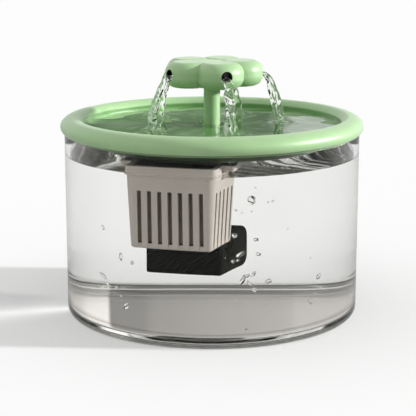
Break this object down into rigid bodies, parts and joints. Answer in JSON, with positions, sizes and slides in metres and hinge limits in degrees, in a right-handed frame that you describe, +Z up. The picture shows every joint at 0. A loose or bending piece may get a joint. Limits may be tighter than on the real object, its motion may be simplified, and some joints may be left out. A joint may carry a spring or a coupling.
{
  "type": "pet water fountain",
  "caption": "Round clear water tank with a dished green tray, a five-petal spout head on a stem, and a slotted filter box and submersible pump hung below the tray.",
  "frame": {"origin": "the tank's axis at the surface it stands on", "axes": "+Z up along the tank's and stem's axis; the filter box lies towards -Y; +X to the right"},
  "size_m": [0.1848, 0.1848, 0.1555],
  "materials": {
    "clear_acrylic": "clear polished acrylic",
    "sage_plastic": "sage green moulded plastic, soft gloss",
    "grey_plastic": "warm light grey moulded plastic",
    "dark_plastic": "dark grey moulded plastic",
    "pump_plastic": "black ribbed plastic",
    "white_plastic": "white moulded plastic",
    "black_rubber": "black rubber",
    "filter_cloth": "dark brown filter mesh",
    "cotton": "white filter cotton",
    "sponge": "black open-cell sponge",
    "carbon": "activated carbon granules",
    "resin": "amber ion-exchange beads",
    "ferrite": "sintered ferrite magnet",
    "core_steel": "stacked steel laminations",
    "copper": "enamelled copper wire",
    "ceramic": "polished white ceramic"
  },
  "bodies": {
    "tank": {"tank": "clear_acrylic", "lead_grommet": "black_rubber"},
    "tray": {"tray": "sage_plastic", "return_chute": "sage_plastic"},
    "stem": {"stem": "sage_plastic"},
    "head": {"head_shell": "sage_plastic", "head_plug": "sage_plastic", "head_seal": "black_rubber"},
    "filter_box": {"filter_box": "grey_plastic"},
    "cartridge": {"cartridge_frame": "dark_plastic", "cartridge_mesh": "filter_cloth", "carbon_bed": "carbon", "resin_bed": "resin", "cotton_pad": "cotton", "sponge_pad": "sponge"},
    "pump": {"pump_housing": "pump_plastic", "motor_cap": "pump_plastic", "lead_gland": "black_rubber", "outlet_oring": "black_rubber", "rotor_shaft": "ceramic", "rear_bush": "black_rubber", "stator_core": "core_steel", "coil_bobbin": "white_plastic", "coil_winding": "copper"},
    "impeller": {"impeller": "white_plastic", "rotor_magnet": "ferrite"},
    "intake_cover": {"intake_cover": "pump_plastic", "front_bush": "black_rubber"},
    "flow_dial": {"flow_dial": "pump_plastic"}
  },
  "joints": [
    {"name": "tray_lift", "type": "slide", "parent": "tank", "child": "tray", "axis": [0, 0, 1], "range_m": [0, 0.1]},
    {"name": "stem_lift", "type": "slide", "parent": "tray", "child": "stem", "axis": [0, 0, 1], "range_m": [0, 0.06]},
    {"name": "head_turn", "type": "hinge", "parent": "stem", "child": "head", "pos_m": [0, 0, 0.1475], "axis": [0, 0, 1], "continuous": true},
    {"name": "filter_box_drop", "type": "slide", "parent": "tray", "child": "filter_box", "axis": [0, 0, -1], "range_m": [0, 0.04]},
    {"name": "cartridge_lift", "type": "slide", "parent": "filter_box", "child": "cartridge", "axis": [0, 0, 1], "range_m": [0, 0.009]},
    {"name": "pump_drop", "type": "slide", "parent": "tray", "child": "pump", "axis": [0, 0, -1], "range_m": [0, 0.02]},
    {"name": "impeller_spin", "type": "hinge", "parent": "pump", "child": "impeller", "pos_m": [-0.00135, -0.00482, 0.04255], "axis": [0.9632, -0.2689, 0], "continuous": true},
    {"name": "intake_cover_off", "type": "slide", "parent": "pump", "child": "intake_cover", "axis": [0.9632, -0.2689, 0], "range_m": [0, 0.012]},
    {"name": "flow_dial_turn", "type": "hinge", "parent": "intake_cover", "child": "flow_dial", "pos_m": [-0.00135, -0.00482, 0.04255], "axis": [0.9632, -0.2689, 0], "range_deg": [0, 30]}
  ]
}
